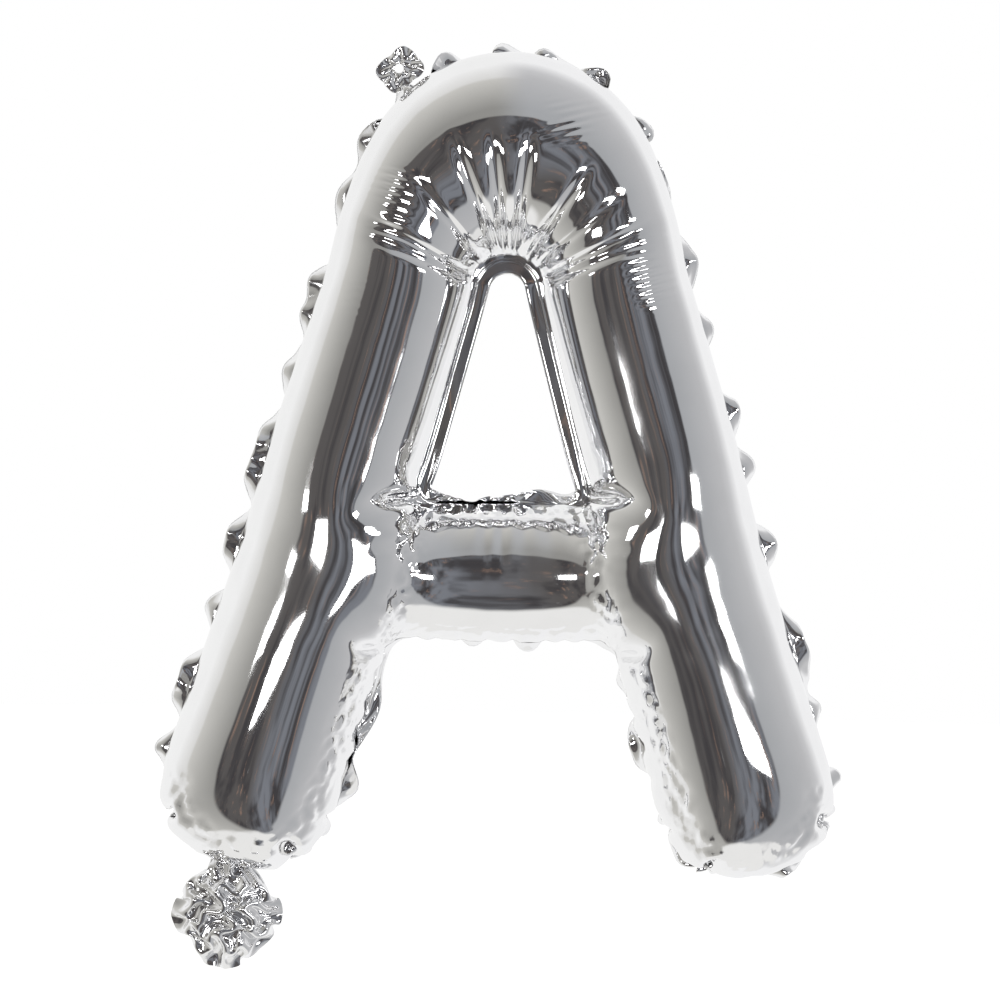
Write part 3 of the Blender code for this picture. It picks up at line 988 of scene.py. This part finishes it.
@dataclass
class LetterEnvelope:
    """The inflated letter: a front and a back panel, and the welded seams round them.

    Attributes:
        pattern: The panel's grid, flat and inflated.
        outer_flange: The width of the weld outside the panels.
        flange_lean: How far the outer weld leans to the back, in degrees.
        counter_flange: The width of the weld inside the counter.
        gather_leg: The extra fullness of the film along the lower legs' inner edge.
        gather_bar: The same along the lower and the upper edge of the crossbar.
        gather_flange: The extra fullness of the outer weld's free edge.
        steps: The number of steps that the film is inflated for.
    """

    pattern: LetterPattern
    outer_flange: float = 6.5 * MM
    flange_lean: float = 62.0
    counter_flange: float = 6.0 * MM
    gather_leg: float = 0.10
    gather_bar: tuple[float, float] = (0.14, 0.02)
    gather_edge: float = 0.01
    gather_join: float = 0.06
    join_width: float = 5.0
    gather_flange: float = 0.12
    gather_width: int = 8
    bar_gather_width: int = 4
    taut_from: float = 0.09
    taut_blend: float = 0.15
    taut_ramp: float = 26 * MM
    arch_taut: float = 0.9
    settle_rounds: int = 80
    unevenness: float = 0.2 * MM
    steps: int = 500
    seed: int = 7

    def lay_out(self) -> None:
        """Lay out all points: the front, the back, and the flanges along the seams."""
        pattern = self.pattern
        count = len(pattern.full)
        on_seam = np.zeros(count, bool)
        on_seam[pattern.outer_loop] = on_seam[pattern.counter_loop] = True
        self.front_inside = np.flatnonzero(~on_seam)
        self.twin = np.arange(count)
        self.twin[self.front_inside] = count + np.arange(len(self.front_inside))
        flat = np.stack([pattern.flat[:, 0], np.zeros(count), pattern.flat[:, 1]], axis=1)
        self.places = np.concatenate([pattern.full * (1, -1, 1), pattern.full[self.front_inside]])
        self.flat = np.concatenate([flat, flat[self.front_inside]])
        self.outer_grid = self.add_flange(pattern.outer_loop, self.outer_flange, 3)
        self.counter_grid = self.add_flange(pattern.counter_loop, -self.counter_flange, 2)

    def add_flange(self, loop: Array, width: float, rows: int) -> Array:
        """Add a flange along a seam.

        Args:
            loop: The seam's points, in order.
            width: The flange's width, less than 0 if it lies inside the loop.
            rows: The number of rows of cells across it.

        Returns:
            The flange's grid, which closes on itself.
        """
        left = smooth(-self.places[loop, 0] / (40 * MM)) * smooth((self.places[loop, 2] - 20 * MM) / (60 * MM))
        lean = self.flange_lean + 38.0 * self.drift(len(loop), 3) - 35.0 * left
        lean = np.radians(np.clip(lean, 0, 100))[:, None] * (width > 0)
        columns = [loop] + [len(self.places) + row * len(loop) + np.arange(len(loop)) for row in range(rows)]
        added = []
        for points in (self.places, self.flat):
            seam = points[loop][:, [0, 2]]
            ahead = np.roll(seam, -1, axis=0)
            winding = np.sign(np.sum(seam[:, 0] * ahead[:, 1] - ahead[:, 0] * seam[:, 1]))
            run = ahead - np.roll(seam, 1, axis=0)
            run /= np.linalg.norm(run, axis=1)[:, None]
            outward = np.stack([run[:, 1], np.zeros(len(run)), -run[:, 0]], axis=1) * winding
            base = points[loop] * (1, 0, 1)
            if points is self.places:
                outward = outward * np.cos(lean) + np.array((0.0, 1.0, 0.0)) * np.sin(lean)
            added.append(np.concatenate([base + outward * width * (row + 1) / rows for row in range(rows)]))
        self.places = np.concatenate([self.places, added[0]])
        self.flat = np.concatenate([self.flat, added[1]])
        grid = np.stack(columns, axis=1)
        return np.concatenate([grid, grid[:1]])

    def gathers(self) -> Array:
        """Return the extra fullness of the film at each point."""
        pattern = self.pattern
        rows, columns = pattern.leg_grid.shape
        near_inner = np.clip(1 - np.arange(columns) / self.gather_width, 0, 1)
        place = np.arange(rows)
        lower_leg = np.minimum(place, rows - 1 - place) < pattern.bar_start
        on_leg = lower_leg[:, None] * near_inner * self.gather_leg + near_inner[::-1] * self.gather_edge
        near_low = np.clip(1 - np.arange(pattern.bar_rows + 1) / self.bar_gather_width, 0, 1)
        on_bar = near_low * self.gather_bar[0] + near_low[::-1] * self.gather_bar[1]
        reach = np.arange(max(self.gather_width, 1))
        near_join = self.gather_join * np.clip(1 - reach / self.join_width, 0, 1)
        beside_bar = np.arange(pattern.bar_start, pattern.bar_start + pattern.bar_rows + 1)
        for side in (beside_bar, rows - 1 - beside_bar):
            on_leg[side, : len(reach)] = np.maximum(on_leg[side, : len(reach)], near_join)
        gather = np.zeros(len(self.places))
        for twin in (np.arange(len(self.twin)), self.twin):
            legs, bar = twin[pattern.leg_grid], twin[pattern.bar_grid]
            gather[legs] = on_leg
            gather[bar] = np.maximum(gather[bar], on_bar[:, None])
            gather[bar[:, : len(reach)]] = np.maximum(gather[bar[:, : len(reach)]], near_join)
            gather[bar[:, : -len(reach) - 1 : -1]] = np.maximum(gather[bar[:, : -len(reach) - 1 : -1]], near_join)
        flange = self.outer_grid[:-1, 1:]
        uneven = np.clip(1 + self.drift(len(flange), 5), 0.1, None)[:, None]
        gather[flange] = uneven * np.linspace(0.5, 1, flange.shape[1]) * self.gather_flange
        return gather

    def drift(self, count: int, seed: int) -> Array:
        """Return a slow random wave along a loop of points, mostly from -1 to 1."""
        random = np.random.default_rng(seed)
        turn = np.arange(count) * 2 * math.pi / count
        waves = [np.sin(turn * number + random.uniform(0, 2 * math.pi)) for number in range(11, 45, 3)]
        return np.sum(waves, axis=0) / math.sqrt(len(waves) / 1.5)

    def tautness(self) -> Array:
        """Return how taut the film is at each point: the legs have no fullness along them."""
        pattern = self.pattern
        rows, columns = pattern.leg_grid.shape
        place = np.minimum(np.arange(rows), rows - 1 - np.arange(rows))
        shoulder = len(pattern.flat_rows) - pattern.arch_rows
        ramp = self.taut_ramp / pattern.cell
        above_foot, below_shoulder = (place - pattern.foot_rows) / ramp + 1, (shoulder - place) / (2 * ramp)
        share = np.arange(columns) / (columns - 1)
        across = np.clip((share - self.taut_from) / self.taut_blend, 0, 1)
        on_leg = np.clip(np.minimum(above_foot, below_shoulder), 0, 1)[:, None] * across
        on_arch = np.clip(1 - below_shoulder, 0, 1)[:, None] * self.arch_taut
        taut = np.zeros(len(self.places))
        for twin in (np.arange(len(self.twin)), self.twin):
            taut[twin[pattern.leg_grid]] = np.maximum(on_leg, on_arch)
        return taut

    def settle(self) -> None:
        """Take the small waves out of the taut film along the legs and the arch."""
        pattern = self.pattern
        columns = pattern.leg_grid.shape[1]
        share = np.arange(columns) / (columns - 1)
        across = np.clip((share - 0.1) / 0.2, 0, 1) * np.clip((1 - share) / 0.06, 0, 1)
        place = np.minimum(np.arange(pattern.last_row + 1), pattern.last_row - np.arange(pattern.last_row + 1))
        weight = (np.clip((place - 0.5 * pattern.foot_rows) / 8, 0, 1)[:, None] * across)[1:-1, :, None]
        for twin in (np.arange(len(self.twin)), self.twin):
            film = self.places[twin[pattern.leg_grid]]
            for _ in range(self.settle_rounds):
                for step in (0.5, -0.52):
                    film[1:-1] += ((film[:-2] + film[2:]) / 2 - film[1:-1]) * weight * step
            self.places[twin[pattern.leg_grid]] = film

    def inflate(self) -> None:
        """Blow the film up and leave it at rest."""
        pattern = self.pattern
        guide = np.zeros((len(self.places), 3))
        guide[pattern.outer_loop] = (0.07, 0.02, 0.07)
        guide[pattern.counter_loop] = 0.2
        solver = FilmSolver(self.places, self.flat, guide, gather=self.gathers(), taut=self.tautness())
        back_leg, back_bar = self.twin[pattern.leg_grid], self.twin[pattern.bar_grid]
        for grid, ease in (
            (pattern.leg_grid, 1.0),
            (back_leg, 1.0),
            (pattern.bar_grid, 0.0),
            (back_bar, 0.0),
            (self.outer_grid, 1.0),
            (self.counter_grid, 1.0),
        ):
            solver.add_grid(grid, ease)
        self.front_quads = self.panel_quads(pattern.leg_grid, pattern.bar_grid, -1)
        self.back_quads = self.panel_quads(back_leg, back_bar, 1)
        solver.add_skin(self.front_quads)
        solver.add_skin(self.back_quads)
        uneven = np.random.default_rng(self.seed).normal(0.0, self.unevenness, self.places.shape)
        solver.run(self.steps, (self.front_inside, self.twin[self.front_inside]), pattern.cell, uneven)
        self.places = solver.places
        self.settle()

    def panel_quads(self, leg: Array, bar: Array, side: int) -> Array:
        """Return a panel's faces, turned out."""
        return np.concatenate([facing(self.places, grid_quads(grid), side) for grid in (leg, bar)])

    def build(self) -> list[bpy.types.Object]:
        """Inflate the letter and return its four pieces."""
        self.lay_out()
        self.inflate()
        front = film_object("front_film", self.places, self.front_quads, 1)
        back = film_object("back_film", self.places, self.back_quads, 1)
        outer = film_object("outer_seam_weld", self.places, grid_quads(self.outer_grid), 1, 0.12 * MM)
        counter = film_object("counter_seam_weld", self.places, grid_quads(self.counter_grid), 1, 0.12 * MM)
        relief = panel_relief()
        relief.press(front)
        relief.press(back)
        return [
            dress(front, MirrorFoil("front_foil_film", coils=0.25), "front_foil", "front_panel"),
            dress(back, MirrorFoil("back_foil_film", coils=0.25), "back_foil", "back_panel"),
            dress(outer, MirrorFoil("outer_seam_film", haze=0.12, crinkle=0.2, grain=4 * MM), "outer_seam_foil", "outer_seam"),
            dress(counter, MirrorFoil("counter_seam_film", crinkle=0.03), "counter_seam_foil", "counter_seam"),
        ]


@dataclass
class FillingTail:
    """The crumpled tail under the left foot, through which the balloon is filled."""

    centre: Point = (-114 * MM, -20.5 * MM)
    half_width: float = 19.3 * MM
    half_height: float = 20.3 * MM
    depth: float = 9 * MM
    cells: int = 26
    fullness: float = 1.42
    steps: int = 120
    seed: int = 11

    def sheet(self, side: int) -> Array:
        """Return one face of the tail before it is crumpled, as rows of points."""
        place = np.linspace(-1, 1, self.cells + 1)
        across, down = np.meshgrid(place, place)
        x, z = across * np.sqrt(1 - down**2 / 2), down * np.sqrt(1 - across**2 / 2)
        depth = self.depth * np.sqrt(np.maximum(0.0, 1 - x**2 - z**2))
        return np.stack(
            [self.centre[0] + self.half_width * x, side * depth, self.centre[1] + self.half_height * z], axis=2
        )

    def build(self) -> list[bpy.types.Object]:
        """Crumple the tail's two faces and return them."""
        count = (self.cells + 1) ** 2
        front = np.arange(count).reshape(self.cells + 1, -1)
        back = front + count
        for edge in (np.s_[0], np.s_[-1], np.s_[:, 0], np.s_[:, -1]):
            back[edge] = front[edge]
        places = np.concatenate([self.sheet(side).reshape(-1, 3) for side in (-1, 1)])
        noise = np.random.default_rng(self.seed).normal(0.0, 1.0 * MM, places.shape)
        guide = np.full(places.shape, 0.02)
        inside = front[1:-1, 1:-1].ravel()
        solver = FilmSolver(places, places * self.fullness, guide, push=0.0, bend=0.16, drag=0.9)
        solver.add_grid(front)
        solver.add_grid(back)
        solver.run(self.steps, (inside, inside + count), 1.6 * MM, noise)
        made = []
        for side, grid, word in ((-1, front, "front"), (1, back, "back")):
            piece = film_object(f"tail_{word}_film", solver.places, facing(places, grid_quads(grid), side), 2)
            finish = MirrorFoil(f"tail_{word}_film", crinkle=0.25, haze=0.12, grain=3 * MM)
            made.append(dress(piece, finish, f"tail_{word}_foil", f"tail_{word}"))
        return made


@dataclass
class HangingTab:
    """The crumpled tab on the arch, with the hole that the balloon hangs by."""

    arch: Pulley = FULL_LETTER.arch
    angle: float = math.radians(131)
    hole_distance: float = 73.5 * MM
    hole_radius: float = 2 * MM
    reach: tuple[float, float] = (66 * MM, 80 * MM)
    half_width: float = 8.5 * MM
    rings: int = 8
    spokes: int = 48
    fullness: float = 1.2
    behind: float = 1.2 * MM
    steps: int = 120
    seed: int = 5

    def build(self) -> list[bpy.types.Object]:
        """Crumple the tab round its hole and return it."""
        turn = np.arange(self.spokes) * 2 * math.pi / self.spokes
        middle = (self.reach[0] + self.reach[1]) / 2 - self.hole_distance
        half_height = (self.reach[1] - self.reach[0]) / 2
        power = (np.abs(np.cos(turn)) ** 4 + np.abs(np.sin(turn)) ** 4) ** -0.25
        edge = np.stack([np.cos(turn) * power * self.half_width, np.sin(turn) * power * half_height + middle], axis=1)
        hole = np.stack([np.cos(turn), np.sin(turn)], axis=1) * self.hole_radius
        share = np.linspace(0, 1, self.rings + 1)[:, None, None]
        flat = (hole * (1 - share) + edge * share).reshape(-1, 2)
        centre = np.array(self.arch.at(self.angle)) * 1.0
        outward = np.array((math.cos(self.angle), math.sin(self.angle)))
        sideways = np.array((-outward[1], outward[0]))
        base = np.array((self.arch.x, self.arch.z)) + outward * self.hole_distance
        placed = base + flat[:, :1] * sideways + flat[:, 1:] * outward
        places = np.stack([placed[:, 0], np.full(len(placed), self.behind), placed[:, 1]], axis=1)
        grid = np.arange(len(places)).reshape(self.rings + 1, -1)
        grid = np.concatenate([grid, grid[:, :1]], axis=1)
        guide = np.full(places.shape, 0.01)
        guide[grid[0]] = 0.5
        noise = np.random.default_rng(self.seed).normal(0.0, 0.5 * MM, places.shape)
        noise[grid[0]] = 0.0
        solver = FilmSolver(places, places * self.fullness, guide, push=0.0, bend=0.12, drag=0.9)
        solver.add_grid(grid)
        solver.run(self.steps, (grid[:0, 0], grid[:0, 0]), 1.6 * MM, noise)
        piece = film_object("hanging_tab_film", solver.places, facing(places, grid_quads(grid), -1), 2, 0.12 * MM)
        finish = MirrorFoil("hanging_tab_film", crinkle=0.25, haze=0.12, grain=3 * MM)
        return [dress(piece, finish, "tab_foil", "hanging_tab")]


@dataclass
class Studio:
    """The pale floor, the soft lights, the surroundings and the camera."""

    aim: tuple[float, float, float] = (0.0469, 0.0, -0.1832)
    camera_distance: float = 1.5
    frame_width: float = 0.4263
    roll: float = math.radians(1.2)
    floor_drop: float = 0.43
    floor_radius: float = 2.6

    def camera(self) -> None:
        """Add the camera, straight in front of the letter."""
        data = bpy.data.cameras.new("front camera")
        data.sensor_width = 36.0
        data.lens = 36.0 * self.camera_distance / self.frame_width
        camera = bpy.data.objects.new("front camera", data)
        camera.location = (self.aim[0], self.aim[1] - self.camera_distance, self.aim[2])
        camera.rotation_euler = (math.pi / 2, -self.roll, 0.0)
        bpy.context.scene.collection.objects.link(camera)
        bpy.context.scene.camera = camera

    def floor(self) -> None:
        """Add the round pale floor below the balloon."""
        bpy.ops.object.select_all(action="DESELECT")
        bpy.ops.mesh.primitive_circle_add(
            vertices=128, radius=self.floor_radius, fill_type="NGON", location=(self.aim[0], 0.0, -self.floor_drop)
        )
        floor = bpy.context.object
        floor.name = "studio_floor"
        floor.visible_glossy = False
        bpy.ops.object.transform_apply(location=True)
        floor.data.materials.append(PaleFloor().material())

    def area_light(self, name: str, place: Array, size: tuple[float, float], energy: float) -> None:
        """Add a soft box that faces the balloon.

        Args:
            name: The light's name.
            place: Where it stands.
            size: Its width and height.
            energy: Its power in watts.
        """
        data = bpy.data.lights.new(name, "AREA")
        data.shape = "RECTANGLE"
        data.size, data.size_y = size
        data.energy = energy
        light = bpy.data.objects.new(name, data)
        light.location = place
        direction = np.array(self.aim) - place
        turn = math.atan2(direction[0], direction[1])
        tilt = math.atan2(direction[2], math.hypot(direction[0], direction[1]))
        light.rotation_euler = (math.pi / 2 + tilt, 0.0, -turn)
        bpy.context.scene.collection.objects.link(light)

    def lights(self) -> None:
        """Add two low soft boxes beside the camera and two higher ones further out."""
        self.area_light("low left soft box", np.array((-0.37, -1.2, -0.265)), (0.34, 0.17), 1.5)
        self.area_light("low right soft box", np.array((0.73, -1.2, -0.355)), (0.5, 0.19), 2.2)
        self.area_light("high left soft box", np.array((-1.13, -1.2, 0.07)), (0.2, 0.2), 1.0)
        self.area_light("high right soft box", np.array((1.13, -1.2, 0.08)), (0.3, 0.2), 1.4)

    def surroundings(self) -> None:
        """Paint the room round the balloon: white behind it, dark round the camera."""
        world = bpy.data.worlds.new("studio room")
        bpy.context.scene.world = world
        world.use_nodes = True
        graph = Graph(world.node_tree)
        direction = graph.node("ShaderNodeTexCoord", {}, output="Generated")
        parts = self.split(graph, direction)
        angle = graph.node("ShaderNodeMath", {0: -parts["Y"]}, operation="ARCCOSINE") * (1 / math.pi)
        right = parts["X"].ramped(-0.15, 0.15)
        room = self.room_wall(graph, direction, right)
        wall_left = graph.node(
            "ShaderNodeValToRGB",
            {"Fac": angle},
            stops=[(0.25, (0.30, 0.295, 0.28)), (0.47, (0.60, 0.59, 0.56)), (0.49, (0.74, 0.735, 0.72)), (0.62, (0.93, 0.93, 0.925))],
        )
        wall_right = graph.node(
            "ShaderNodeValToRGB",
            {"Fac": angle},
            stops=[(0.25, (0.40, 0.41, 0.425)), (0.50, (0.52, 0.52, 0.53)), (0.56, (0.60, 0.60, 0.61)), (0.66, (0.93, 0.93, 0.935))],
        )
        walls = graph.mix(right, wall_left, wall_right)
        above = parts["Z"].ramped(-0.02, 0.02)
        upright = parts["Z"] * (above * (1 / 0.56 - 1 / 0.87) + 1 / 0.87)
        sideways = parts["X"] * (1 / 0.70)
        reach = graph.node("ShaderNodeVectorMath", {0: graph.joined(sideways, upright)}, output="Value", operation="LENGTH")
        opening = graph.node("ShaderNodeMath", {0: reach.ramped(0.97, 1.03), 1: parts["Y"].ramped(-0.1, 0.0)}, operation="MAXIMUM")
        surround = graph.mix(opening, room, walls)
        low = (-parts["Z"]).ramped(0.86, 0.92)
        surround = graph.mix(low, surround, (0.86, 0.855, 0.84))
        seen = graph.node("ShaderNodeLightPath", {}, output="Is Camera Ray")
        colour = graph.mix(seen, surround, (1.0, 1.0, 1.0))
        background = graph.node("ShaderNodeBackground", {"Color": colour, "Strength": 1.0})
        graph.node("ShaderNodeOutputWorld", {"Surface": background})

    def split(self, graph: Graph, vector: Term) -> dict[str, Term]:
        """Return the three parts of a vector by name."""
        first = graph.node("ShaderNodeSeparateXYZ", {0: vector}, output="X")
        outputs = first.socket.node.outputs
        return {name: Term(graph, outputs[name]) for name in ("X", "Y", "Z")}

    def room_wall(self, graph: Graph, direction: Term, right: Term) -> Term:
        """Return the colour of the dark room that the front of the balloon mirrors."""
        broad = graph.noise(graph.stretched(direction, (2.6, 1.0, 0.7)), 2.0, 3.0, 0.6)
        fine = graph.noise(graph.stretched(direction, (6.0, 1.0, 1.6)), 3.0, 4.0, 0.65)
        base = graph.mix(right, (0.105, 0.098, 0.096), (0.20, 0.21, 0.235))
        shade = graph.mix(broad.ramped(0.40, 0.62), base, (0.055, 0.052, 0.055))
        copper = graph.mix(fine.ramped(0.58, 0.70), shade, (0.30, 0.20, 0.155))
        return graph.mix(fine.ramped(0.30, 0.22), copper, (0.42, 0.42, 0.43))

    def build(self) -> None:
        """Set up the whole studio."""
        self.camera()
        self.floor()
        self.lights()
        self.surroundings()
        bpy.context.scene.view_settings.view_transform = "Standard"


def main() -> None:
    """Build the balloon over its frame and set up the studio."""
    logging.basicConfig(level=logging.INFO, format="%(name)s: %(message)s")
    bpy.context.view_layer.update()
    pattern = LetterPattern(cell=2.8 * MM)
    pieces = LetterEnvelope(pattern).build() + FillingTail().build() + HangingTab().build()
    LOG.info("%d pieces", len(pieces))
    Studio().build()


if __name__ == "__main__":
    main()
